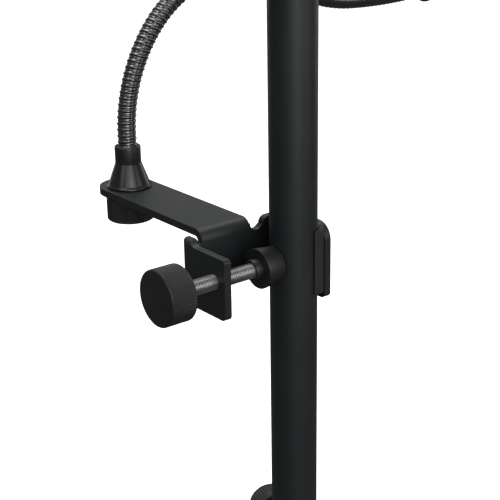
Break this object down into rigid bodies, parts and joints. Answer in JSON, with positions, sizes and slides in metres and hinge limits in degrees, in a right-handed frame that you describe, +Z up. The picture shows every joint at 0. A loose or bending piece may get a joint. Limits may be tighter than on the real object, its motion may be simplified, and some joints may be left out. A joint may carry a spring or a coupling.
{
  "type": "music stand",
  "caption": "Free-standing music stand: folding tripod, telescoping tube, tilting sheet desk with ledge, and a clamp-on gooseneck arm with threaded spigot.",
  "frame": {"origin": "on the main tube's axis at floor level, which is the middle of the footprint", "axes": "+Z up along the tube; the desk's face looks towards -Y, where the reader stands, and up; +X is to the reader's right"},
  "size_m": [0.516, 0.455, 1.0721],
  "materials": {
    "powder_coat": "satin black powder coat on steel",
    "moulded_black": "satin moulded black nylon",
    "knob_black": "satin moulded black plastic, knurled rims",
    "gloss_black": "gloss black on steel",
    "zinc": "bright zinc plate",
    "rubber": "matt black rubber",
    "nylon": "natural nylon"
  },
  "bodies": {
    "tube": {"lower_tube": "powder_coat", "tube_end_cap": "moulded_black", "brace_hub": "moulded_black", "brace_pins": "zinc", "height_collar": "moulded_black", "height_bush": "nylon"},
    "hub": {"leg_hub": "moulded_black", "leg_pins": "zinc"},
    "leg_a": {"leg_a": "powder_coat", "foot_a": "rubber"},
    "brace_a": {"brace_a": "powder_coat", "brace_rivets_a": "zinc"},
    "leg_b": {"leg_b": "powder_coat", "foot_b": "rubber"},
    "brace_b": {"brace_b": "powder_coat", "brace_rivets_b": "zinc"},
    "leg_c": {"leg_c": "powder_coat", "foot_c": "rubber"},
    "brace_c": {"brace_c": "powder_coat", "brace_rivets_c": "zinc"},
    "hub_shoe": {"hub_shoe": "nylon"},
    "hub_screw": {"hub_knob": "knob_black", "hub_stud": "zinc"},
    "inner_tube": {"inner_tube": "powder_coat", "inner_tube_plug": "moulded_black"},
    "height_shoe": {"height_shoe": "nylon"},
    "height_screw": {"height_knob": "knob_black", "height_stud": "zinc"},
    "desk_socket": {"desk_socket": "moulded_black"},
    "swivel_shoe": {"swivel_shoe": "nylon"},
    "swivel_screw": {"swivel_knob": "knob_black", "swivel_stud": "zinc"},
    "desk": {"tilt_bracket": "powder_coat", "tilt_bolt": "zinc", "desk_panel": "powder_coat", "desk_ledge": "powder_coat", "desk_rivets": "powder_coat"},
    "tilt_washer": {"tilt_washer": "zinc"},
    "tilt_screw": {"tilt_knob": "knob_black"},
    "clamp": {"clamp_bracket": "powder_coat", "clamp_liner": "rubber"},
    "pad": {"pressure_pad": "knob_black"},
    "clamp_screw": {"clamp_rod": "zinc", "clamp_knob": "knob_black"},
    "arm_base": {"arm_cone": "gloss_black", "arm_stud": "zinc", "gooseneck_root": "gloss_black"},
    "arm_washer": {"arm_washer": "zinc"},
    "arm_nut": {"arm_nut": "knob_black"},
    "neck_1": {"gooseneck_1": "gloss_black"},
    "neck_2": {"gooseneck_2": "gloss_black"},
    "neck_3": {"gooseneck_3": "gloss_black"},
    "neck_4": {"gooseneck_4": "gloss_black"},
    "neck_5": {"gooseneck_5": "gloss_black", "arm_tip": "gloss_black"}
  },
  "joints": [
    {"name": "hub_slide", "type": "slide", "parent": "tube", "child": "hub", "axis": [0, 0, 1], "range_m": [0, 0.10739]},
    {"name": "leg_a_fold", "type": "hinge", "parent": "hub", "child": "leg_a", "pos_m": [0.03, 0, 0.24], "axis": [0, 1, 0], "range_deg": [0, 40.73]},
    {"name": "brace_a_fold", "type": "hinge", "parent": "tube", "child": "brace_a", "pos_m": [0.022, 0, 0.072], "axis": [0, -1, 0], "range_deg": [0, 54.72]},
    {"name": "leg_b_fold", "type": "hinge", "parent": "hub", "child": "leg_b", "pos_m": [-0.015, 0.02598, 0.24], "axis": [-0.866, -0.5, 0], "range_deg": [0, 40.73]},
    {"name": "brace_b_fold", "type": "hinge", "parent": "tube", "child": "brace_b", "pos_m": [-0.011, 0.01905, 0.072], "axis": [0.866, 0.5, 0], "range_deg": [0, 54.72]},
    {"name": "leg_c_fold", "type": "hinge", "parent": "hub", "child": "leg_c", "pos_m": [-0.015, -0.02598, 0.24], "axis": [0.866, -0.5, 0], "range_deg": [0, 40.73]},
    {"name": "brace_c_fold", "type": "hinge", "parent": "tube", "child": "brace_c", "pos_m": [-0.011, -0.01905, 0.072], "axis": [-0.866, 0.5, 0], "range_deg": [0, 54.72]},
    {"name": "hub_shoe_travel", "type": "slide", "parent": "hub", "child": "hub_shoe", "axis": [0.342, 0.9397, 0], "range_m": [0, 0.0021]},
    {"name": "hub_screw_turn", "type": "hinge", "parent": "hub_shoe", "child": "hub_screw", "pos_m": [0, 0, 0.258], "axis": [0.342, 0.9397, 0], "range_deg": [0, 720]},
    {"name": "height_slide", "type": "slide", "parent": "tube", "child": "inner_tube", "axis": [0, 0, 1], "range_m": [-0.18, 0.19]},
    {"name": "height_shoe_travel", "type": "slide", "parent": "tube", "child": "height_shoe", "axis": [-0.9397, 0.342, 0], "range_m": [0, 0.0021]},
    {"name": "height_screw_turn", "type": "hinge", "parent": "height_shoe", "child": "height_screw", "pos_m": [0, 0, 0.587], "axis": [-0.9397, 0.342, 0], "range_deg": [0, 720]},
    {"name": "desk_swivel", "type": "hinge", "parent": "inner_tube", "child": "desk_socket", "pos_m": [0, 0, 0.9], "axis": [0, 0, 1], "continuous": true},
    {"name": "swivel_shoe_travel", "type": "slide", "parent": "desk_socket", "child": "swivel_shoe", "axis": [0, 1, 0], "range_m": [0, 0.0021]},
    {"name": "swivel_screw_turn", "type": "hinge", "parent": "swivel_shoe", "child": "swivel_screw", "pos_m": [0, 0, 0.872], "axis": [0, 1, 0], "range_deg": [0, 720]},
    {"name": "desk_tilt", "type": "hinge", "parent": "desk_socket", "child": "desk", "pos_m": [0, -0.022, 0.89], "axis": [-1, 0, 0], "range_deg": [-20, 60]},
    {"name": "tilt_washer_travel", "type": "slide", "parent": "desk", "child": "tilt_washer", "axis": [1, 0, 0], "range_m": [0, 0.0013]},
    {"name": "tilt_screw_turn", "type": "hinge", "parent": "tilt_washer", "child": "tilt_screw", "pos_m": [0, -0.022, 0.89], "axis": [1, 0, 0], "range_deg": [0, 360]},
    {"name": "clamp_slide", "type": "slide", "parent": "tube", "child": "clamp", "axis": [0, 0, 1], "range_m": [-0.1, 0.1]},
    {"name": "pad_travel", "type": "slide", "parent": "clamp", "child": "pad", "axis": [-1, 0, 0], "range_m": [0, 0.0188]},
    {"name": "clamp_screw_turn", "type": "hinge", "parent": "pad", "child": "clamp_screw", "pos_m": [0, 0, 0.43], "axis": [-1, 0, 0], "range_deg": [0, 5400]},
    {"name": "arm_swivel", "type": "hinge", "parent": "clamp", "child": "arm_base", "pos_m": [-0.0267, 0.113, 0.4485], "axis": [0, 0, 1], "range_deg": [-60, 200]},
    {"name": "arm_washer_travel", "type": "slide", "parent": "clamp", "child": "arm_washer", "axis": [0, 0, -1], "range_m": [0, 0.0026]},
    {"name": "arm_nut_turn", "type": "hinge", "parent": "arm_washer", "child": "arm_nut", "pos_m": [-0.0267, 0.113, 0.43], "axis": [0, 0, -1], "range_deg": [0, 720]},
    {"name": "neck_bend_1", "type": "hinge", "parent": "arm_base", "child": "neck_1", "pos_m": [-0.0267, 0.113, 0.4791], "axis": [0, 1, 0], "range_deg": [-25, 25]},
    {"name": "neck_bend_2", "type": "hinge", "parent": "neck_1", "child": "neck_2", "pos_m": [-0.00642, 0.113, 0.53637], "axis": [0.7771, 0, -0.6293], "range_deg": [-25, 25]},
    {"name": "neck_bend_3", "type": "hinge", "parent": "neck_2", "child": "neck_3", "pos_m": [0.03788, 0.113, 0.56246], "axis": [0, 1, 0], "range_deg": [-25, 25]},
    {"name": "neck_bend_4", "type": "hinge", "parent": "neck_3", "child": "neck_4", "pos_m": [0.08843, 0.113, 0.55309], "axis": [-0.515, 0, -0.8572], "range_deg": [-25, 25]},
    {"name": "neck_bend_5", "type": "hinge", "parent": "neck_4", "child": "neck_5", "pos_m": [0.14349, 0.113, 0.53626], "axis": [0, 1, 0], "range_deg": [-25, 25]}
  ],
  "couplings": [
    {"joint": "leg_a_fold", "follows": "hub_slide", "rad_per_m": 6.619},
    {"joint": "brace_a_fold", "follows": "hub_slide", "rad_per_m": 8.893},
    {"joint": "leg_b_fold", "follows": "hub_slide", "rad_per_m": 6.619},
    {"joint": "brace_b_fold", "follows": "hub_slide", "rad_per_m": 8.893},
    {"joint": "leg_c_fold", "follows": "hub_slide", "rad_per_m": 6.619},
    {"joint": "brace_c_fold", "follows": "hub_slide", "rad_per_m": 8.893},
    {"joint": "hub_shoe_travel", "follows": "hub_screw_turn", "m_per_rad": 0.00015915},
    {"joint": "height_shoe_travel", "follows": "height_screw_turn", "m_per_rad": 0.00015915},
    {"joint": "swivel_shoe_travel", "follows": "swivel_screw_turn", "m_per_rad": 0.00015915},
    {"joint": "tilt_washer_travel", "follows": "tilt_screw_turn", "m_per_rad": 0.00019894},
    {"joint": "pad_travel", "follows": "clamp_screw_turn", "m_per_rad": 0.00019894},
    {"joint": "arm_washer_travel", "follows": "arm_nut_turn", "m_per_rad": 0.00019894}
  ]
}
